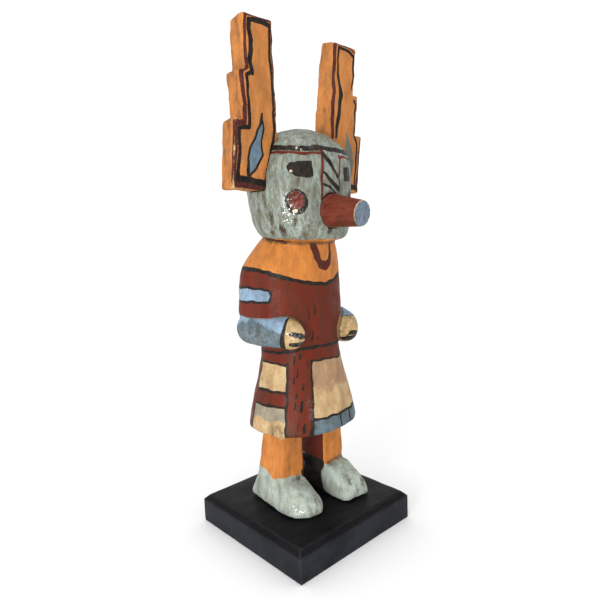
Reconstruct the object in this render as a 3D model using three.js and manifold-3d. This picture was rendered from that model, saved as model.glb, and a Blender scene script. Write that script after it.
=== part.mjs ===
// A painted kachina doll carved from wood, standing on a square block.
// Millimetres, +Z up. The origin is the middle of the block's underside and the doll faces -Y,
// so its own right side is -X.
import * as THREE from 'three';
import { ConvexGeometry } from 'three/addons/geometries/ConvexGeometry.js';
import { mergeVertices } from 'three/addons/utils/BufferGeometryUtils.js';
import Module from 'manifold-3d';

// Block
const BLOCK_SIDE = 64;
const BLOCK_HEIGHT = 12.4;
const BLOCK_BEVEL = 2.2;

// Glued seams between the pieces
const GLUE_GAP = 0.3;

// Carved figure, from the soles to the crown of the head
const FIGURE_HEIGHT = 154;
const FIGURE_TURN_DEG = 3;

// Tablets at the sides of the head
const TABLET_HEIGHT = 59;
const TABLET_BOTTOM_BELOW_CROWN = 24.2;
const TABLET_DEPTH_IN_HEAD = 8.8;
const TABLET_INNER_SPLAY = 3.8;
const TABLET_LEAN_DEG = 3;
const TABLET_RIGHT_BOTTOM_FLARE = 1.6;
const TABLET_LEFT_BOTTOM_FLARE = -1.6;
const TABLET_LEFT_BACK_RISE = 2.7;
const TABLET_TOP_WIDTH = 13;
const TABLET_UPPER_STEP_WIDTH = 3;
const TABLET_LOWER_STEP_WIDTH = 3.9;
const TABLET_FLARE = 1.3;
const TABLET_UPPER_STEP = 40.5;
const TABLET_LOWER_STEP = 24;
const TABLET_FRONT_OFF_MIDDLE = 3.1;
const TABLET_TOP_THICKNESS = 8;
const TABLET_OUTER_THICKNESS = 7.8;
const TABLET_INNER_THICKNESS = 10.5;

// Snout peg
const SNOUT_ROOT_DIAMETER = 13.4;
const SNOUT_TIP_DIAMETER = 9.7;
const SNOUT_REACH = 13.8;
const SNOUT_SEAT_DEPTH = 3;
const SNOUT_DROOP_DEG = 7;
const SNOUT_SIDES = 14;

// Facets around a carved section, and rows between two of its stations
const BODY_SIDES = 48;
const BODY_ROWS = 2;
const ARM_SIDES = 20;
const ARM_ROWS = 14;

const wasm = await Module();
wasm.setup();

// Solids

function toSolid(geometry) {
  const bare = geometry.clone();
  bare.deleteAttribute('normal');
  bare.deleteAttribute('uv');
  const merged = mergeVertices(bare, 1e-4);
  return new wasm.Manifold(new wasm.Mesh({
    numProp: 3,
    vertProperties: new Float32Array(merged.attributes.position.array),
    triVerts: new Uint32Array(merged.index.array),
  }));
}

function toGeometry(solid) {
  const mesh = solid.getMesh();
  const geometry = new THREE.BufferGeometry();
  geometry.setAttribute('position', new THREE.BufferAttribute(mesh.vertProperties, 3));
  geometry.setIndex(new THREE.BufferAttribute(mesh.triVerts, 1));
  const flat = geometry.toNonIndexed();
  flat.computeVertexNormals();
  return flat;
}

// Triangles that close a convex ring.
function fan(sides) {
  return Array.from({ length: sides - 2 }, (_, step) => [0, step + 1, step + 2]);
}

// A closed skin over rings of points that run counter-clockwise seen from the last ring.
function skinOver(rings, capTriangles = fan(rings[0].length)) {
  const sides = rings[0].length;
  const positions = rings.flat().flatMap((point) => point.toArray());
  const index = [];
  for (let row = 0; row + 1 < rings.length; row += 1) {
    for (let side = 0; side < sides; side += 1) {
      const here = row * sides + side;
      const next = row * sides + (side + 1) % sides;
      index.push(here, next, next + sides);
      index.push(here, next + sides, here + sides);
    }
  }
  const lastRing = (rings.length - 1) * sides;
  for (const [a, b, c] of capTriangles) {
    index.push(a, c, b);
    index.push(lastRing + a, lastRing + b, lastRing + c);
  }
  const geometry = new THREE.BufferGeometry();
  geometry.setAttribute('position', new THREE.Float32BufferAttribute(positions, 3));
  geometry.setIndex(index);
  return geometry;
}

// Free carving is measured in hundredths of the figure's height.
const PART = FIGURE_HEIGHT / 100;

const HEAD_MIDDLE_Y = -3.1 * PART;
const HEAD_FRONT_Y = HEAD_MIDDLE_Y - 11.5 * PART;
const HEAD_HALF_WIDTH = 14.7 * PART;
const SNOUT_ROOT_HEIGHT = 78.6;
const RIGHT_HAND_HEIGHT = 48.8;
const LEFT_HAND_HEIGHT = 47.2;

// One level section: an ellipse with squared corners, whose front and back differ.
function levelRing(section) {
  const ring = [];
  for (let side = 0; side < BODY_SIDES; side += 1) {
    const angle = (side / BODY_SIDES) * Math.PI * 2;
    const across = Math.cos(angle);
    const along = Math.sin(angle);
    const isBack = along > 0;
    const power = 2 / (isBack ? section.backPower : section.frontPower);
    const depth = isBack ? section.back : section.front;
    const reach = depth * Math.sign(along) * Math.abs(along) ** power;
    ring.push(new THREE.Vector3(
      PART * (section.shift + section.halfWidth * Math.sign(across) * Math.abs(across) ** power),
      PART * (section.middle + reach),
      PART * (section.height + section.slope * reach),
    ));
  }
  return ring;
}

// A form carved in the round: level sections that flow smoothly from station to station.
function carve(stations) {
  const keys = Object.keys(stations[0]);
  const values = stations.flatMap((station) => keys.map((key) => station[key]));
  const curve = new THREE.CubicInterpolant([...stations.keys()], values, keys.length);
  const rowCount = (stations.length - 1) * BODY_ROWS;
  const rings = [];
  for (let row = 0; row <= rowCount; row += 1) {
    const result = curve.evaluate(row / BODY_ROWS);
    rings.push(levelRing(Object.fromEntries(keys.map((key, place) => [key, result[place]]))));
  }
  return toSolid(skinOver(rings));
}

// shift moves a section towards the figure's left, middle moves it towards the back, and
// slope lowers its front and lifts its back.
function station(height, halfWidth, front, back, middle, frontPower, backPower, shift = 0, slope = 0) {
  return { height, halfWidth, front, back, middle, frontPower, backPower, shift, slope };
}

// The dress and the trunk, from the hem up to the neck inside the head. The trunk takes in
// the upper arms, so it is broadest towards the back.
function carvedBody() {
  return carve([
    station(21.8, 13.9, 12.0, 12.0, -0.7, 2.2, 2.2),
    station(22.1, 14.8, 12.9, 12.9, -0.7, 2.3, 2.3),
    station(23.0, 15.2, 13.3, 13.3, -0.8, 2.3, 2.3),
    station(29.4, 13.8, 12.1, 12.1, -0.8, 2.3, 2.3),
    station(37.2, 11.8, 10.3, 10.3, -0.9, 2.3, 2.3),
    station(44.0, 10.7, 9.3, 9.5, -0.9, 2.3, 2.4),
    station(47.0, 11.6, 9.9, 10.3, -0.4, 2.3, 2.7, -0.3),
    station(51.0, 14.2, 11.0, 11.4, 0.4, 2.2, 3.2, -0.6),
    station(56.0, 14.4, 11.1, 11.5, 0.4, 2.1, 3.2, -0.6),
    station(61.0, 14.0, 11.1, 11.3, 0.4, 2.1, 3.2, -0.5),
    station(65.0, 13.5, 11.0, 10.9, 0.2, 2.1, 3.0, -0.4),
    station(68.5, 12.0, 10.4, 9.9, -0.4, 2.1, 2.7, -0.1),
    station(71.5, 10.5, 9.3, 8.8, -1.1, 2.1, 2.4, 0.1),
    station(75.0, 8.0, 7.0, 6.6, -2.0, 2.1, 2.2, 0.2),
  ]);
}

// The head is a barrel with a rounded chin edge and a domed crown. Its sides are cut flat
// towards the crown, where the tablets stand.
function carvedHead() {
  const barrel = carve([
    station(71.8, 9.6, 8.2, 7.6, -3.4, 2.2, 2.2, 0, 0.09),
    station(72.3, 11.4, 9.5, 8.8, -3.6, 2.2, 2.2, 0, 0.09),
    station(73.7, 12.8, 10.6, 9.8, -3.5, 2.2, 2.2, 0, 0.09),
    station(76.3, 13.7, 11.2, 10.5, -3.3, 2.2, 2.3, 0, 0.06),
    station(80.0, 14.2, 11.4, 11.0, -3.1, 2.3, 2.3, 0, 0.02),
    station(84.5, 14.6, 11.6, 11.4, -3.0, 2.3, 2.3),
    station(89.5, 14.4, 11.7, 11.4, -3.1, 2.3, 2.3),
    station(92.5, 13.8, 11.4, 11.1, -3.2, 2.3, 2.3),
    station(95.3, 12.0, 10.0, 9.9, -3.2, 2.2, 2.2),
    station(97.7, 8.8, 7.5, 7.4, -3.2, 2.1, 2.1),
    station(99.3, 5.0, 4.3, 4.3, -3.2, 2.0, 2.0),
    station(100.0, 0.9, 0.8, 0.8, -3.2, 2.0, 2.0),
  ]);
  const flatFoot = 86.6 * PART;
  const flatSlope = THREE.MathUtils.degToRad(19.7);
  const waste = 30 * PART;
  return [-1, 1].reduce((head, side) => {
    const chip = new THREE.BoxGeometry(waste, waste * 2, waste * 2);
    chip.translate((side * waste) / 2, 0, 0);
    chip.rotateY(-side * flatSlope);
    chip.translate(side * HEAD_HALF_WIDTH, 0, flatFoot);
    const upper = new THREE.BoxGeometry(waste * 2, waste * 2, waste);
    upper.translate(0, 0, flatFoot + waste / 2);
    return head.subtract(toSolid(chip).intersect(toSolid(upper)));
  }, barrel);
}

// One bent forearm and its hand: a round-ended bar along the side of the trunk.
// side is -1 for the figure's right arm and 1 for its left. rise lifts the elbow over the hand,
// curl brings the hand in over the belly, and handTaper is the share of the bar that narrows
// towards the fingertips.
function carvedArm(side, { height, halfHeight, halfWidth, rise, curl, handTaper }) {
  const route = new THREE.CatmullRomCurve3([
    new THREE.Vector3(side * 11.9, 8.8, height + rise),
    new THREE.Vector3(side * 13.1, 5.0, height + rise * 0.9),
    new THREE.Vector3(side * 13.2, -1.5, height + rise * 0.5),
    new THREE.Vector3(side * (12.0 - curl / 2), -7.0, height),
    new THREE.Vector3(side * (9.7 - curl), -12.4, height - 0.3),
  ].map((point) => point.multiplyScalar(PART)));
  const halfAcross = halfWidth * PART;
  const halfUp = halfHeight * PART;
  const elbowRound = 0.2;
  const bluntEnd = 0.05;
  const up = new THREE.Vector3(0, 0, 1);
  const rings = [];
  for (let row = 0; row <= ARM_ROWS; row += 1) {
    const turn = (row / ARM_ROWS) * Math.PI;
    const along = (1 - Math.cos(turn)) / 2;
    const fromEnd = Math.min(along / elbowRound, (1 - along) / handTaper, 1);
    const fullness = Math.max(Math.sqrt(1 - (1 - fromEnd) ** 2), bluntEnd);
    const centre = route.getPointAt(along);
    const sideways = new THREE.Vector3().crossVectors(route.getTangentAt(along), up).normalize();
    const ring = [];
    for (let step = 0; step < ARM_SIDES; step += 1) {
      const angle = (step / ARM_SIDES) * Math.PI * 2;
      ring.push(centre.clone()
        .addScaledVector(sideways, halfAcross * fullness * Math.cos(angle))
        .addScaledVector(up, halfUp * fullness * Math.sin(angle)));
    }
    rings.push(ring);
  }
  return toSolid(skinOver(rings.reverse()));
}

// A form with flat knife cuts between its corner points.
function knifeCut(points) {
  const corners = points.map((point) => new THREE.Vector3(...point).multiplyScalar(PART));
  return toSolid(new ConvexGeometry(corners));
}

const RIGHT_ARM = {
  height: RIGHT_HAND_HEIGHT, halfHeight: 4.0, halfWidth: 3.1, rise: 0.2, curl: 0, handTaper: 0.2,
};
const LEFT_ARM = {
  height: LEFT_HAND_HEIGHT, halfHeight: 4.8, halfWidth: 3.7, rise: 1.8, curl: 0.8, handTaper: 0.35,
};

// One foot, cut with flat strokes of the knife. sole holds the corners of its sole, outward
// and backward. Those in front of toeLine carry the rounded toe, and the instep rises from
// them to its top at instepY.
function carvedFoot(side, sole, toeLine, instepY) {
  const middle = 7.6;
  const topHeight = 8.1;
  const points = [];
  const put = ([x, y], inward, back, up) => {
    points.push([side * (x + (middle - x) * inward), y + back, up]);
  };
  for (const corner of sole) {
    put(corner, 0.05, 0, 0);
    put(corner, 0, 0, 0.9);
    if (corner[1] < toeLine) {
      put(corner, 0.08, 0.6, 2.9);
      put(corner, 0.18, 3.2, 5.4);
    }
  }
  const heel = Math.max(...sole.map((corner) => corner[1]));
  for (const across of [-4.1, 4.1]) {
    put([middle + across, instepY], 0, 0, topHeight);
    put([middle + across, heel - 4.2], 0.2, 0, topHeight);
  }
  return knifeCut(points);
}

const RIGHT_SOLE = [
  [4.9, 11.4], [10.3, 11.4], [12.0, 3.0], [13.3, -5.6], [12.6, -8.8],
  [10.0, -11.1], [5.6, -12.1], [2.9, -10.0], [3.0, -4.0],
];
const LEFT_SOLE = [
  [4.5, 7.2], [10.1, 7.2], [11.5, -2.3], [12.2, -8.7],
  [12.5, -13.0], [10.9, -14.7], [3.6, -13.4], [2.4, -12.2], [2.6, -6.3],
];

// One leg, four-sided, from inside the dress down into the foot.
function carvedLeg(side, front) {
  const points = [];
  for (const [height, inner, outer, face, back] of [
    [24.5, 3.6, 11.3, front - 0.2, front + 8.6],
    [7.0, 3.5, 12.2, front + 0.2, front + 11.6],
  ]) {
    points.push([side * inner, face, height], [side * outer, face, height]);
    points.push([side * (inner + 0.4), back, height], [side * (outer - 1.4), back, height]);
  }
  return knifeCut(points);
}

// Tablets

const TABLET_INNER_BOTTOM = HEAD_HALF_WIDTH - TABLET_DEPTH_IN_HEAD;
const TABLET_INNER_TOP = TABLET_INNER_BOTTOM + TABLET_INNER_SPLAY;

// A tablet's front outline, outward and upward, with two steps in its outer edge.
// grow moves every edge outward, for the slot that the tablet stands in.
function tabletOutline(side, grow) {
  const bottomFlare = side < 0 ? TABLET_RIGHT_BOTTOM_FLARE : TABLET_LEFT_BOTTOM_FLARE;
  const topOuter = TABLET_INNER_TOP + TABLET_TOP_WIDTH;
  const upperNotch = topOuter - TABLET_FLARE;
  const upperCorner = upperNotch + TABLET_UPPER_STEP_WIDTH;
  const lowerNotch = upperCorner - TABLET_FLARE;
  const lowerCorner = lowerNotch + TABLET_LOWER_STEP_WIDTH;
  return [
    [TABLET_INNER_BOTTOM - grow, -grow],
    [lowerCorner + bottomFlare + grow, -grow],
    [lowerCorner + grow, TABLET_LOWER_STEP + grow],
    [lowerNotch + grow, TABLET_LOWER_STEP + grow],
    [upperCorner + grow, TABLET_UPPER_STEP + grow],
    [upperNotch + grow, TABLET_UPPER_STEP + grow],
    [topOuter + grow, TABLET_HEIGHT + grow],
    [TABLET_INNER_TOP - grow, TABLET_HEIGHT + grow],
  ];
}

// The board is thinnest at its outer bottom corner and thickest at its inner one.
function tabletThickness(x, height) {
  const topOuter = TABLET_INNER_TOP + TABLET_TOP_WIDTH;
  const inward = THREE.MathUtils.inverseLerp(topOuter, TABLET_INNER_BOTTOM, x);
  const bottom = THREE.MathUtils.lerp(TABLET_OUTER_THICKNESS, TABLET_INNER_THICKNESS, inward);
  return THREE.MathUtils.lerp(bottom, TABLET_TOP_THICKNESS, height / TABLET_HEIGHT);
}

function tabletSolid(side, grow) {
  const outline = tabletOutline(side, grow);
  const flatOutline = outline.map(([x, height]) => new THREE.Vector2(x, height));
  const capTriangles = THREE.ShapeUtils.triangulateShape(flatOutline, []);
  const bottom = FIGURE_HEIGHT - TABLET_BOTTOM_BELOW_CROWN;
  const lean = Math.tan(THREE.MathUtils.degToRad(TABLET_LEAN_DEG));
  const frontY = (height) => HEAD_MIDDLE_Y - TABLET_FRONT_OFF_MIDDLE - lean * height;
  const front = outline.map(([x, height]) => (
    new THREE.Vector3(side * x, frontY(height) - grow, bottom + height)));
  const backRise = (height) => (side > 0 && height >= TABLET_HEIGHT ? TABLET_LEFT_BACK_RISE : 0);
  const back = outline.map(([x, height]) => (new THREE.Vector3(
    side * x,
    frontY(height) + tabletThickness(x, height) + grow,
    bottom + height + backRise(height),
  )));
  return toSolid(skinOver(side > 0 ? [back, front] : [front, back], capTriangles));
}

// Snout

function snoutSolid(grow) {
  const length = SNOUT_REACH + SNOUT_SEAT_DEPTH;
  const geometry = new THREE.CylinderGeometry(
    SNOUT_ROOT_DIAMETER / 2 + grow,
    SNOUT_TIP_DIAMETER / 2 + grow,
    length + 2 * grow,
    SNOUT_SIDES,
  );
  geometry.translate(0, SNOUT_SEAT_DEPTH - length / 2, 0);
  geometry.rotateX(THREE.MathUtils.degToRad(SNOUT_DROOP_DEG));
  geometry.translate(0, HEAD_FRONT_Y, SNOUT_ROOT_HEIGHT * PART);
  return toSolid(geometry);
}

// The whole figure is one piece of wood: two slots in its head hold the tablets, and a
// shallow seat in its face holds the snout.
function figureSolid() {
  const parts = [
    carvedHead(),
    carvedArm(-1, RIGHT_ARM),
    carvedArm(1, LEFT_ARM),
    carvedLeg(-1, -4.1),
    carvedLeg(1, -4.9),
    carvedFoot(-1, RIGHT_SOLE, -8, -2.6),
    carvedFoot(1, LEFT_SOLE, -12.6, -6.6),
  ];
  const whole = parts.reduce((sum, part) => sum.add(part), carvedBody());
  return whole
    .subtract(tabletSolid(-1, GLUE_GAP))
    .subtract(tabletSolid(1, GLUE_GAP))
    .subtract(snoutSolid(GLUE_GAP));
}

function blockGeometry() {
  const square = (half, height) => [[-1, -1], [1, -1], [1, 1], [-1, 1]].map(([x, y]) => (
    new THREE.Vector3(x * half, y * half, height)));
  const half = BLOCK_SIDE / 2;
  return toGeometry(toSolid(skinOver([
    square(half, 0),
    square(half, BLOCK_HEIGHT - BLOCK_BEVEL),
    square(half - BLOCK_BEVEL, BLOCK_HEIGHT),
  ])));
}

// Materials

function painted(color, roughness) {
  return new THREE.MeshStandardMaterial({ color, roughness, metalness: 0 });
}

function piece(name, geometry, material) {
  const mesh = new THREE.Mesh(geometry, material);
  mesh.name = name;
  return mesh;
}

const figureGroup = new THREE.Group();
figureGroup.position.z = BLOCK_HEIGHT + GLUE_GAP;
figureGroup.rotation.z = THREE.MathUtils.degToRad(FIGURE_TURN_DEG);
figureGroup.add(
  piece('figure', toGeometry(figureSolid()), painted(0x8f9c90, 0.5)),
  piece('snout', toGeometry(snoutSolid(0)), painted(0x7a3328, 0.4)),
  piece('tablet_right', toGeometry(tabletSolid(-1, 0)), painted(0xc9803c, 0.7)),
  piece('tablet_left', toGeometry(tabletSolid(1, 0)), painted(0xc9803c, 0.7)),
);

const doll = new THREE.Group();
doll.add(piece('base', blockGeometry(), painted(0x1c1b1d, 0.45)), figureGroup);

export default doll;
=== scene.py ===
import math

import bpy
import numpy as np
from mathutils import Matrix, Vector


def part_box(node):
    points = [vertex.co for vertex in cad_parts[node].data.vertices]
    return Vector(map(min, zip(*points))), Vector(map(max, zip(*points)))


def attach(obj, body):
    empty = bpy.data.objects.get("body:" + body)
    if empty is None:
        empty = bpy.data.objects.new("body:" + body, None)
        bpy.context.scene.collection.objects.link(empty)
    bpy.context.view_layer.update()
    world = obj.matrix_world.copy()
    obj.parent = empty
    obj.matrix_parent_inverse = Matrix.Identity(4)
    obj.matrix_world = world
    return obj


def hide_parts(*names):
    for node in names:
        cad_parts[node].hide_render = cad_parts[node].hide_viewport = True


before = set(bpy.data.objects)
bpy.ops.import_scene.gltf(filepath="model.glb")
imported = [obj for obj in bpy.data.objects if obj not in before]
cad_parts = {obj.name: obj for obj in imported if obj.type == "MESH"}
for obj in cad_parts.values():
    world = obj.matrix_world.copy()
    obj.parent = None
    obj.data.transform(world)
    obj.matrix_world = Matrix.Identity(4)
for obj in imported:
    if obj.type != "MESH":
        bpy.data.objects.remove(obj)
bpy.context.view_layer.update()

# A painted kachina doll of carved wood on a black square block.
# Places on the figure are in millimetres from the middle between its soles, as it stands:
# x towards its left, y towards its back, z up. Angles are in degrees round its axis, from the
# front towards its left.
MM = 0.001
SOLES_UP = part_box("figure")[0][2] / MM
FIGURE_TURN = math.radians(3)

# The head and the body are painted round an upright axis each, and the paint is laid out on a
# flat chart with this many millimetres for a degree of turn
HEAD_AXIS_Y = -4.8
BODY_AXIS_Y = -0.9
ARC_PER_DEGREE = 0.36

# Foot of the tablets, and their front at the foot, which leans forward
TABLET_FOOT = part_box("tablet_right")[0][2] / MM - SOLES_UP
TABLET_FRONT_Y = -7.9
TABLET_LEAN = math.tan(math.radians(3))

# A gap that is wide enough to mean no paint at all
FAR = 50.0


# Places and painted shapes. A painted shape is a gap at each point: how many millimetres the
# point lies outside the shape, or below zero where it lies inside.

def read_vectors(mesh, field):
    values = np.empty(len(mesh.vertices) * 3, dtype=np.float32)
    mesh.vertices.foreach_get(field, values)
    return values.reshape(-1, 3).astype(float)


def in_figure(points):
    """Places in the frame, in metres, as places on the figure."""
    across, along, up = points.T / MM
    cosine, sine = math.cos(FIGURE_TURN), math.sin(FIGURE_TURN)
    return np.column_stack([
        cosine * across + sine * along,
        cosine * along - sine * across,
        up - SOLES_UP,
    ])


def laid_flat(points, axis_y, wobble):
    """The angle round an upright axis, and the flat chart of arc and height."""
    angle = np.degrees(np.arctan2(points[:, 0], axis_y - points[:, 1]))
    return angle, np.column_stack([angle * ARC_PER_DEGREE, points[:, 2]]) + wobble


def wander(points, wavelength, seed):
    """Smooth random waves, mostly between -1 and 1."""
    random = np.random.default_rng(seed)
    waves = 8
    total = np.zeros(len(points))
    for _ in range(waves):
        direction = random.normal(size=3)
        direction /= np.linalg.norm(direction)
        pace = math.tau / (wavelength * random.uniform(0.6, 1.6))
        total += np.sin(points @ direction * pace + random.uniform(0, math.tau))
    return total / math.sqrt(waves)


def rising(value, start, end):
    """Nought at the start, one at the end and beyond it, with an even slope between."""
    return np.clip((value - start) / (end - start), 0, 1)


def at_knots(value, knots):
    """What the knots, pairs of place and value, say at each place."""
    return np.interp(value, *zip(*knots))


def wrapped(knots):
    """Angle and height pairs as places on the flat chart."""
    return [(angle * ARC_PER_DEGREE, height) for angle, height in knots]


def off_run(chart, start, end):
    """Distance from a straight run, and how far along it each place lies, from 0 to 1."""
    run = end - start
    share = np.clip((chart - start) @ run / (run @ run), 0, 1)
    return np.linalg.norm(chart - start - share[:, None] * run, axis=1), share


def stroke(chart, knots, widths):
    """Distance outside a brushed line through the knots; below zero is on its paint."""
    knots = np.array(knots, dtype=float)
    widths = np.broadcast_to(widths, len(knots))
    gap = np.full(len(chart), FAR)
    for place in range(len(knots) - 1):
        away, share = off_run(chart, knots[place], knots[place + 1])
        half_width = (widths[place] + (widths[place + 1] - widths[place]) * share) / 2
        gap = np.minimum(gap, away - half_width)
    return gap


def wrapped_strokes(chart, lines):
    """All the lines of a list. Each has its knots and its width, or a width for each knot."""
    return inside_any(*[stroke(chart, wrapped(knots), widths) for knots, widths in lines])


def patch(chart, corners):
    """Distance outside a painted field with straight edges; below zero is inside."""
    corners = np.array(corners, dtype=float)
    inside = np.zeros(len(chart), dtype=bool)
    gap = np.full(len(chart), FAR)
    for start, end in zip(corners, np.roll(corners, -1, axis=0)):
        gap = np.minimum(gap, off_run(chart, start, end)[0])
        run = end - start
        if run[1]:
            crosses = (start[1] > chart[:, 1]) != (end[1] > chart[:, 1])
            inside ^= crosses & (chart[:, 0] - start[0] < (chart[:, 1] - start[1]) * run[0] / run[1])
    return np.where(inside, -gap, gap)


def oval(chart, centre, half_width, half_height):
    """Distance, near enough, outside an oval; below zero is inside."""
    offset = (chart - np.array(centre)) / (half_width, half_height)
    return (np.linalg.norm(offset, axis=1) - 1) * min(half_width, half_height)


def level(angle, knots):
    """Height, at each angle, of a line painted round the figure."""
    turns, heights = zip(*knots)
    return np.interp(angle, turns, heights, period=360)


def line_round(chart, angle, knots, width):
    return np.abs(chart[:, 1] - level(angle, knots)) - width / 2


def between(value, low, high):
    """Distance outside the span from low to high."""
    return np.maximum(low - value, value - high)


def above_soft_foot(height, foot, steepness, sway):
    """All above the foot. The smaller the steepness, the more softly the paint thins out."""
    return -steepness * (height - foot + sway)


def inside_all(*gaps):
    return np.maximum.reduce(gaps)


def inside_any(*gaps):
    return np.minimum.reduce(gaps)


# Painting of the head

HEAD_FOOT = 110
CHIN = 111.7
CHIN_RISE = 0.08
CROWN_LINE = [(-180, 146), (-76, 144.8), (-60, 144.2), (-44, 143.7), (-26, 144.1), (-13, 144.2),
              (10, 144.0), (28, 143.8), (76, 144.6)]
CROWN_LINE_WIDTH = 2.0
FACE_RED_LINES = [
    ([(-16.6, 143.0), (-17.6, 137), (-18.9, 129), (-19.6, 125.6)], [1.8, 1.5, 1.4, 1.3]),
    ([(14.4, 142.0), (13.2, 135), (12.3, 128)], 1.1),
    ([(-90, 143.6), (-76, 142.9), (-60, 142.5), (-44, 142.0), (-26, 142.2), (-17, 142.5)], 1.1),
    ([(12, 141.5), (38, 141.6), (60, 142.2), (90, 143.2)], 0.9),
]
FACE_SLANTS = [
    ([(-15, 142.0), (-4, 138.6), (9.5, 134.2)], [1.4, 2.0, 1.8]),
    ([(-16.5, 135.2), (-6, 133.0), (11, 129.2)], [1.1, 1.7, 1.8]),
    ([(-16.0, 131.0), (-5, 129.8), (7, 127.8)], [1.1, 1.2, 0.7]),
]
EYES = [
    [(-57.2, 137.3), (-53.8, 138.8), (-31, 139.0), (-30.2, 133.5), (-38, 133.4), (-48.5, 134.1),
     (-55.8, 135.3)],
    [(22.4, 137.8), (40.5, 137.9), (41.5, 133.0), (23.4, 132.6)],
]
EYE_ROUNDING = 0.15
CHEEKS = [(-49.6, 124.5), (44, 124.9)]

# Pale spots, each with its half width and half height. The one at the right eye's outer corner and
# the two on the crown line are painted highlights, glints of the varnish; the one at the foot of the
# right cheek is a chip in the paint.
FACE_CHIPS_AND_GLINTS = [((-53.6, 135.6), 0.75, 0.5), ((-51.6, 121.2), 1.1, 0.75), ((-55.5, 123.4), 0.5, 0.4),
              ((7.5, 135.7), 0.35, 0.45), ((-47, 143.9), 0.4, 0.55), ((-43, 143.0), 0.3, 0.5)]


def cheek_spots(chart):
    """The red spots on the cheeks, and the black rings round them."""
    reds = []
    rings = []
    for across, height in wrapped(CHEEKS):
        red = oval(chart, (across - 0.1, height + 0.6), 2.9, 3.4)
        reds.append(red)
        rings.append(inside_all(oval(chart, (across, height), 4.3, 4.7), -red))
    return inside_any(*reds), inside_any(*rings)


def head_paint(points, wobble):
    angle, chart = laid_flat(points, HEAD_AXIS_Y, wobble)
    above_chin = CHIN + CHIN_RISE * (points[:, 1] - HEAD_AXIS_Y) - chart[:, 1]
    on_head = HEAD_FOOT - points[:, 2]
    cheek_reds, cheek_rings = cheek_spots(chart)
    eyes = [patch(chart, wrapped(corners)) - EYE_ROUNDING for corners in EYES]
    chips_and_glints = [oval(chart, *wrapped([place]), *sizes) for place, *sizes in FACE_CHIPS_AND_GLINTS]
    red = inside_any(wrapped_strokes(chart, FACE_RED_LINES), cheek_reds)
    black = inside_any(
        wrapped_strokes(chart, FACE_SLANTS),
        line_round(chart, angle, CROWN_LINE, CROWN_LINE_WIDTH),
        cheek_rings,
        *eyes,
    )
    return {
        "green": inside_all(above_chin, on_head),
        "red": inside_all(on_head, red),
        "black": inside_all(on_head, black),
        "chip_and_glint": inside_all(on_head, inside_any(*chips_and_glints)),
    }


# Painting of the body

TRUNK_FOOT = 31.0
TRUNK_TOP = 110.5
NECKLINE = [(-180, 100.4), (-117, 100.1), (-91, 99.7), (-74, 98.1), (-58, 96.1), (-41, 94.8),
            (-24, 93.7), (0, 92.6), (21, 93.8), (40, 95.6), (62, 98.0), (90, 99.8), (116, 99.8)]
BELT_TOP = [(-180, 67.0), (-107, 66.2), (-80, 66.3), (-55, 67.2), (-41, 68.0), (-16, 68.2),
            (30, 67.5), (90, 66.8)]
BELT_FOOT = [(-180, 61.8), (-102, 62.0), (-79, 61.9), (-61, 61.5), (-31, 62.8), (-5, 62.6),
             (34, 61.6), (90, 61.4)]

# Panels of the dress: the right one in two fields with a band between, the left one in one field
# over a hem, with its tan painted darker under the belt as painted shade, and the sash between the
# panels
RIGHT_PANEL_END = -110
LEFT_PANEL_END = 111
PANEL_TOP = [(-180, 51.0), (-111, 50.9), (-62, 51.2)]
PANEL_FOOT = [(-180, 45.2), (-109, 45.2), (-65, 45.6)]
HEM_LINE = [(-180, 40.6), (-31, 40.3), (6, 40.1), (39, 40.4), (100, 40.6)]
GREY_FOOT = 40.2
SHADED_TAN_FOOT = 51.0
SASH_RIGHT_EDGE = [(-62.4, 62.0), (-62.2, 50), (-62.6, 40), (-61.6, 32)]
SASH_LEFT_EDGE = [(-29.6, 63.0), (-31.0, 54), (-32.6, 46), (-33.8, 41), (-36.4, 35.5), (-37.6, 32)]
LINE_OVERLAP = 0.4
UPRIGHT_LINES = [
    (SASH_RIGHT_EDGE, [1.4, 1.2, 0.8, 0.9]),
    (SASH_LEFT_EDGE, [1.2, 1.1, 1.1, 1.3, 1.7, 1.6]),
    ([(-109.5, 62.2), (-110, 50), (-109, 32)], 0.9),
    ([(112, 61.6), (110, 50), (111, 32)], 0.9),
    ([(5.4, 40), (4.6, 32)], 0.9),
    ([(22.8, 40), (22.0, 32)], 0.9),
]

# Dashes down the sash and the chest: angle, top, foot and width
DASHES = [(-53.0, 64.9, 62.1, 1.2), (-44.9, 66.2, 64.4, 1.2), (-35.6, 64.4, 61.0, 0.7),
          (-49.5, 60.0, 57.2, 0.8), (-54.0, 57.0, 54.6, 1.0), (-43.1, 54.6, 51.9, 0.9),
          (-51.0, 51.4, 49.0, 1.1), (-45.7, 47.7, 44.0, 1.1), (-52.6, 47.4, 44.7, 0.9),
          (-50.5, 40.0, 37.8, 0.9), (-43.9, 39.2, 36.1, 1.1), (-52.7, 35.8, 34.3, 0.8),
          (-31.6, 83.8, 79.8, 1.0), (-22.2, 84.7, 81.2, 1.0), (-7.8, 85.3, 82.0, 0.6),
          (-25.2, 74.8, 71.0, 1.2), (-16.2, 74.4, 71.2, 0.8), (1.0, 74.8, 71.2, 0.6),
          (-36.0, 60.5, 59.0, 0.4)]

ARMBAND = [(140, 92.4), (83, 92.5), (75.5, 91.5), (73.2, 89.6), (76, 87.2), (140, 86.8)]
ARMBAND_LINE = 1.0
NECKLACE_TOP = 109.2
NECKLACE = ([(-20, 111), (-18.6, 108.2), (-13.8, 104.2), (-7.5, 101.0), (2.4, 100.0), (11, 101.2),
             (14.4, 104), (15.6, 111)], [4.6, 4.4, 4.0, 3.8, 3.9, 3.2, 2.2, 1.7])
NECK_STROKE = ([(-90, 111.6), (-72, 111.0), (-58, 109.8)], [1.2, 1.0, 1.4])


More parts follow.
